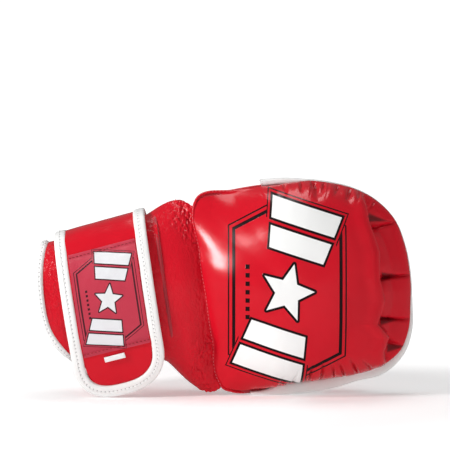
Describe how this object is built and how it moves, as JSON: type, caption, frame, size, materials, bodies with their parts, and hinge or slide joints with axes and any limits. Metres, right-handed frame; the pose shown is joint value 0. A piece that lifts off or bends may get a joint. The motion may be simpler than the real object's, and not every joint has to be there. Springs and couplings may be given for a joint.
{
  "type": "mma glove",
  "caption": "Padded open-palm sparring glove with separate finger loops, a thumb pocket, a soft leather cuff and a wide hook-and-loop wrist strap.",
  "frame": {"origin": "centre of the glove's bounding box at its bottom, where it stands on its little-finger edge", "axes": "+X from the wrist opening to the fingertips, -Y out of the back of the hand, +Z from the little-finger edge to the thumb side"},
  "size_m": [0.2416, 0.0844, 0.138],
  "materials": {
    "red_leather": "glossy full-grain leather",
    "lining_leather": "matt lining leather",
    "white_binding": "satin edge tape",
    "foam": "closed-cell foam",
    "touch_tape": "hook-and-loop tape",
    "woven_label": "satin woven label"
  },
  "bodies": {
    "hand": {"dorsal_shell": "red_leather", "knuckle_foam": "foam", "dorsal_lining": "lining_leather", "edge_piping": "white_binding", "finger_loop_index": "red_leather", "finger_loop_middle": "red_leather", "finger_loop_ring": "red_leather", "finger_loop_little": "red_leather", "fingertip_facing": "red_leather", "thumb_gusset": "red_leather", "thumb_divider": "lining_leather", "wrist_sleeve": "red_leather"},
    "cuff": {"cuff_shell": "red_leather", "cuff_foam": "foam", "cuff_lining": "lining_leather", "cuff_binding": "white_binding", "loop_tape": "touch_tape", "strap_root": "red_leather", "strap_binding_hand_side": "white_binding", "strap_binding_wrist_side": "white_binding"},
    "strap": {"strap_flap": "red_leather", "flap_binding": "white_binding", "hook_tape": "touch_tape", "woven_label": "woven_label", "pull_tab": "white_binding"},
    "thumb": {"thumb_shell": "red_leather", "thumb_foam": "foam", "thumb_lining": "lining_leather", "thumb_binding": "white_binding"}
  },
  "joints": [
    {"name": "wrist_flex", "type": "hinge", "parent": "hand", "child": "cuff", "pos_m": [-0.0304, 0.0014, 0.069], "axis": [0, 0, 1], "range_deg": [-15, 15], "deforming": ["wrist_sleeve"]},
    {"name": "strap_open", "type": "hinge", "parent": "cuff", "child": "strap", "pos_m": [-0.0783, -0.0145, 0.1058], "axis": [-0.9666, 0.0271, -0.2548], "range_deg": [0, 115]},
    {"name": "thumb_swing", "type": "hinge", "parent": "hand", "child": "thumb", "pos_m": [0.0016, 0.0064, 0.126], "axis": [1, 0, 0], "range_deg": [-4, 25]}
  ]
}
